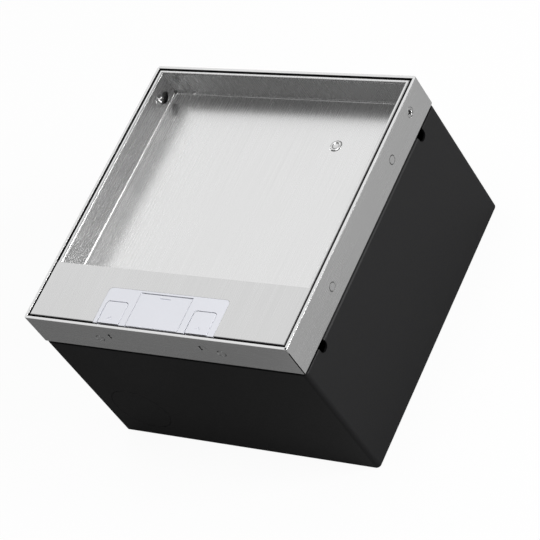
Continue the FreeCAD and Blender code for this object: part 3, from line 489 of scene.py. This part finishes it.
def makeTrimSheet():
    # The sheet's section, (depth in from the outer face, height), carried round the square. Dimples,
    # rivet seats and screw pits push the outer face further in, and the seam goes straight into
    # its corner. A dimple is depth (1 - (r / radius)^2), and its lance cut is an arc on its left.
    c = trimSheet
    half = frameHalf - c["faceBack"]
    foot, top = frameFoot, frameTop
    patch = np.arange(-c["patch"], c["patch"] + 0.01, c["step"])
    dimplesAt = (-c["dimpleOffset"], c["dimpleOffset"])
    rivets = [(along, top - rivetHead["drop"])
              for along in (-rivetHead["offset"], rivetHead["offset"])]
    dimples = np.concatenate([along + patch for along in dimplesAt])
    seats = np.concatenate([along + patch for along, _ in rivets])
    pit = pinPlace[1] + patch
    marks = (np.append(dimples, seats), np.append(pit, seats), [], np.append(-pit, seats))
    corners = (c["bend"], c["seamBend"], c["bend"], c["bend"])
    middle, outward, sign, offset, side, radius = squareWay(half, corners, marks)

    arc = np.linspace(0, np.pi / 2, 5)
    rim, innerRim = c["rim"], c["innerRim"]
    outerZ = np.concatenate([
        [foot + rim], np.linspace(foot + 1.5, top - c["fineFrom"] - 0.6, 3),
        np.arange(top - c["fineFrom"], top - c["fineTo"], c["step"]),
        np.linspace(top - 4.5, top - rim, 4)[:-1]])
    depth = np.concatenate([
        0 * outerZ, rim * (1 - np.cos(arc)), c["sheet"] - innerRim * (1 - np.sin(arc)),
        [c["sheet"]] * 2, rim * (1 - np.sin(arc))])
    height = np.concatenate([
        outerZ, top - rim + rim * np.sin(arc), top - innerRim * (1 - np.cos(arc)),
        [top - 8, foot], foot + rim * (1 - np.cos(arc))])

    push = np.zeros((len(middle), len(depth)))
    z = height[None, :]
    for along in dimplesAt:
        dx = offset[:, None] - along
        r = np.hypot(dx, z - (top - c["dimpleDrop"]))
        bowl = c["dimpleDepth"] * np.clip(1 - (r / c["dimpleRadius"]) ** 2, 0, 1)
        onRing = np.abs(r - c["lanceRing"] * c["dimpleRadius"]) / c["lanceHalf"]
        onLeft = np.clip(-dx / r.clip(0.1) * c["lanceSpan"] - c["lanceStart"], 0, 1)
        cut = c["lanceDepth"] * (np.clip(1.5 - onRing, 0, 1) * onLeft)
        push += np.where(side[:, None] == 0, np.nan_to_num(np.maximum(bowl, cut)), 0)
    pitsOfSide = {0: rivets, 1: rivets + [pinPlace[1:]],
                  3: rivets + [(-pinPlace[1], pinPlace[2])]}
    for number, places in pitsOfSide.items():
        for along, level in places:
            r = np.hypot(offset[:, None] - along, z - level)
            push += np.where((side[:, None] == number) & (r < c["pitRadius"]), c["pitDepth"], 0)
    push *= np.arange(len(depth)) < len(outerZ)

    inward = depth + push
    corner = radius > 0
    over = inward - radius[:, None]
    past = np.where(corner[:, None, None], np.maximum(over, 0)[..., None] * sign[:, None, :], 0)
    inside = np.where(corner[:, None], np.minimum(over, 0), inward)[..., None]
    plan = middle[:, None, :] - past - outward[:, None, :] * inside
    seam = corner & (side == 0)
    stepsAway = np.abs(np.arange(seam.sum()) - (seam.sum() - 1) / 2)[:, None]
    sunk = np.clip(c["seamFrom"] - depth, 0, 1) * (stepsAway < c["seamSteps"]) * c["seamDepth"]
    plan[seam] -= sign[seam][:, None, :] / np.sqrt(2) * sunk[..., None]
    points = np.concatenate([plan, np.broadcast_to(z[..., None], plan.shape[:2] + (1,))], axis=-1)
    addPiece("trimSheet", points.reshape(-1, 3), gridFaces(len(middle), len(depth), True, True),
             frameSteel, "frame", ["trim_frame"], "stainless")


def makeRivets():
    # Flush heads with a shallow ring round each: a turned profile, on the front and both sides.
    c = rivetHead
    ring, wide, deep = c["groove"], c["grooveHalf"], -c["grooveDepth"]
    profile = [(0, 0), (ring - wide, 0), (ring - wide + 0.08, deep), (ring + wide - 0.2, deep),
               (ring + wide, 0), (c["radius"], -0.02), (c["radius"], -c["length"]),
               (0, -c["length"])]
    shape = turned(profile)
    z = frameTop - c["drop"]
    grids = []
    for along in (-c["offset"], c["offset"]):
        grids += [placed(shape, (along, -frameHalf, z), "-y"),
                  placed(shape, (frameHalf, along, z), "x"),
                  placed(shape, (-frameHalf, along, z), "-x")]
    addPiece("rivetHeads", *joinGrids(grids), frameSteel, "frame", ["frame_rivets"],
             "stainless", 25)


hingeScrew = dict(head=3.55, ring=0.45, ringDepth=0.55, shank=2.0, length=5.2,
                  reach=2.1, width=1.15, depth=1.15)    # the cross recess


def makeHingeScrews():
    # Countersunk heads, flush with the frame: a turned profile with a ring round its land, and a
    # cross recess. The countersink falls by as much as it narrows.
    c = hingeScrew
    flat = np.append(np.linspace(0, 2.4, 21), 2.7)
    head, land, deep = c["head"], c["head"] - c["ring"], -c["ringDepth"]
    rest = [(land, -0.15), (land + 0.05, deep), (head - 0.1, deep), (head, 0), (head, -0.1),
            (c["shank"], -head + c["shank"] - 0.1), (c["shank"], -c["length"]), (0, -c["length"])]
    shape = turned(np.vstack([np.column_stack([flat, 0 * flat]), rest]), 64)
    shape[:len(flat), :, 2] -= crossDepth(shape[:len(flat)], c)
    grids = [placed(shape, (frameHalf, *pinPlace[1:]), "x"),
             placed(shape, (-frameHalf, *pinPlace[1:]), "-x")]
    addPiece("hingeScrewHeads", *joinGrids(grids), turnedSteel, "hinge_pins", ["hinge_screws"],
             "stainless_turned", 30)


hingeBarrel = dict(radius=3.8, dome=0.3, length=4.1,
                   reach=2.7, width=1.15, depth=1.1)    # the cross recess


def makeHingeBarrels():
    # The barrels in the lid's slots; their inner ends are low domes with a cross recess:
    # height = dome (1 - (r / radius)^2).
    c = hingeBarrel
    dome = np.append(np.linspace(0, 2.8, 25), [3.1, 3.4, c["radius"] - 0.15])
    height = c["dome"] * (1 - (dome / c["radius"]) ** 2) - c["dome"]
    rest = [(c["radius"], -c["dome"] - 0.2), (c["radius"], -c["length"]), (0, -c["length"])]
    shape = turned(np.vstack([np.column_stack([dome, height]), rest]), 64)
    shape[:len(dome), :, 2] -= crossDepth(shape[:len(dome)], c)
    end = barrelsEnd - c["length"]
    grids = [placed(shape, (-end, *pinPlace[1:]), "x"), placed(shape, (end, *pinPlace[1:]), "-x")]
    addPiece("hingeBarrelEnds", *joinGrids(grids), pinSteel, "hinge_pins", ["hinge_barrels"],
             "stainless_turned", 30)


earthStud = dict(
    head=[(0, 0.1), (1.6, 0.1), (2.1, 0.2), (2.3, 0.5), (2.8, 0.66), (3.5, 0.62), (3.95, 0.35),
          (4.25, 0.0)],         # (radius, height over the tray's floor): a ring round a dish
    rise=0.7,                   # from the floor to the top of the head
    shank=3.0, threadFrom=1.6, pitch=1.0, thread=0.28, point=0.6,
)


def makeEarthStud():
    # A dished head on the tray's floor over a threaded shank: a turned profile whose lower part
    # steps in and out by the thread's depth at every half pitch.
    c = earthStud
    low, high = boxInMillimetres("lid_earth_stud")
    floor = high[2] - c["rise"]
    tip = low[2] - floor
    height = np.arange(-c["threadFrom"], tip + c["point"], -c["pitch"] / 2)
    radius = c["shank"] - c["thread"] * (np.arange(len(height)) % 2)
    profile = np.vstack([c["head"], [(c["shank"], 0.0)], np.column_stack([radius, height]),
                         [(c["shank"] - c["point"], tip), (0, tip)]])
    middle = (low + high) / 2
    shape = placed(turned(profile), (middle[0], middle[1], floor), "z")
    addPiece("earthStud", *joinGrids([shape]), turnedSteel, "lid", ["lid_earth_stud"],
             "stainless_turned", 50)


print("pieces")
makeTrimSheet()
makeRivets()
makeHingeScrews()
makeHingeBarrels()
makeEarthStud()

cameraView = dict(azimuth=53.9401, elevation=43.2651, roll=-37.5289, distance=1.5,
                  aim=(-0.00816, 0.00416, 0.0473), lens=157.394)


def addToScene(name, data):
    thing = bpy.data.objects.new(name, data)
    bpy.context.scene.collection.objects.link(thing)
    return thing


def makeCamera():
    # looks at aim from the given angles: back = (sin a cos e, -cos a cos e, sin e)
    a = math.radians(cameraView["azimuth"])
    e = math.radians(cameraView["elevation"])
    back = Vector((math.sin(a) * math.cos(e), -math.cos(a) * math.cos(e), math.sin(e)))
    data = bpy.data.cameras.new("camera")
    data.lens = cameraView["lens"]
    data.clip_start, data.clip_end = 0.05, 50
    camera = addToScene("camera", data)
    camera.rotation_mode = "QUATERNION"
    roll = Euler((0, 0, math.radians(cameraView["roll"]))).to_quaternion()
    camera.rotation_quaternion = (-back).to_track_quat("-Z", "Y") @ roll
    camera.location = Vector(cameraView["aim"]) + back * cameraView["distance"]
    bpy.context.scene.camera = camera


studio = dict(
    floorSize=12.0,
    paper=0.95,                     # the floor's colour to the camera
    paperRight=0.40,                # what the object sees of the floor behind it to the right
    paperFront=0.17,                # and in front of it to the left, where a dark card lies
    cardWay=(0.81, 0.59),           # the direction from the card to the paper
    cardFrom=-0.16, cardTo=0.12,    # how far along it the card ends and the paper begins
    cameraWhite=0.94,               # share of plain white in what the camera sees of the floor
    glossWhite=0.05,                # and in what shiny surfaces see of the floor and the dome
    skyDim=0.068,                   # the dome towards the front
    skyBright=1.04,                 # towards the back and the left
    skyRight=0.17,                  # towards the back and the right, as a share of that
)


def rayKinds(finish):
    # three masks: rays from the camera, off shiny surfaces, and through clear ones
    rays = finish.node("LightPath", output="all")
    return rays["Is Camera Ray"], rays["Is Glossy Ray"], rays["Is Transmission Ray"]


def makeFloor():
    half = studio["floorSize"] / 2
    mesh = bpy.data.meshes.new("floor")
    corners = [(-half, -half, 0), (half, -half, 0), (half, half, 0), (-half, half, 0)]
    mesh.from_pydata(corners, [], [(0, 1, 2, 3)])
    finish = Finish("floorPaper")
    camera, glossy, through = rayKinds(finish)
    seen = (camera + through) * studio["cameraWhite"] + glossy * studio["glossWhite"]
    x, y, _ = finish.split("Object")
    wayX, wayY = studio["cardWay"]
    across = finish.smooth(x * wayX + y * wayY, studio["cardFrom"], studio["cardTo"],
                           studio["paperFront"], studio["paperRight"])
    card = finish.mixColor(across, grey(0.0), grey(1.0))
    paper = finish.node("BsdfDiffuse",
                        inputs={"Color": finish.mixColor(camera, card, grey(studio["paper"]))})
    white = finish.node("Emission", inputs={"Color": grey(1.0), "Strength": 1.0})
    mix = finish.node("MixShader", inputs={0: seen, 1: paper, 2: white})
    finish.node("OutputMaterial", inputs={"Surface": mix}, output=None)
    mesh.materials.append(finish.owner)
    addToScene("floor", mesh)


def makeSky():
    # a soft dome: dim towards the front, bright towards the back and most so at the left; white
    # to the camera
    world = bpy.data.worlds.new("studio")
    bpy.context.scene.world = world
    finish = Finish("studio", world)
    x, y, _ = finish.split("Generated")
    back = finish.smooth(y, -0.35, 0.45, studio["skyDim"], studio["skyBright"])
    left = finish.smooth(x, -0.45, 0.6, 1.0, studio["skyRight"])
    camera, glossy, through = rayKinds(finish)
    seen = camera + through + glossy * studio["glossWhite"]
    strength = back * left * (1 - seen) + seen
    background = finish.node("Background", inputs={"Color": grey(1.0), "Strength": strength})
    finish.node("OutputWorld", inputs={"Surface": background}, output=None)


lamps = dict(
    sideSoftbox=dict(place=(1.86, 0.24, 0.75), aim=(0, 0, 0.08), size=0.8, watts=38.0),
    topSoftbox=dict(place=(0.0, -0.15, 2.1), aim=(0, 0, 0.1), size=1.0, watts=13.0),
)


def makeLamp(name, place, aim, size, watts):
    data = bpy.data.lights.new(name, "AREA")
    data.shape = "SQUARE"
    data.size = size
    data.energy = watts
    lamp = addToScene(name, data)
    lamp.location = Vector(place)
    lamp.rotation_mode = "QUATERNION"
    lamp.rotation_quaternion = (Vector(aim) - Vector(place)).to_track_quat("-Z", "Y")


print("studio")
bpy.context.scene.view_settings.view_transform = "Standard"
makeCamera()
makeFloor()
makeSky()
for lampName, lampValues in lamps.items():
    makeLamp(lampName, **lampValues)
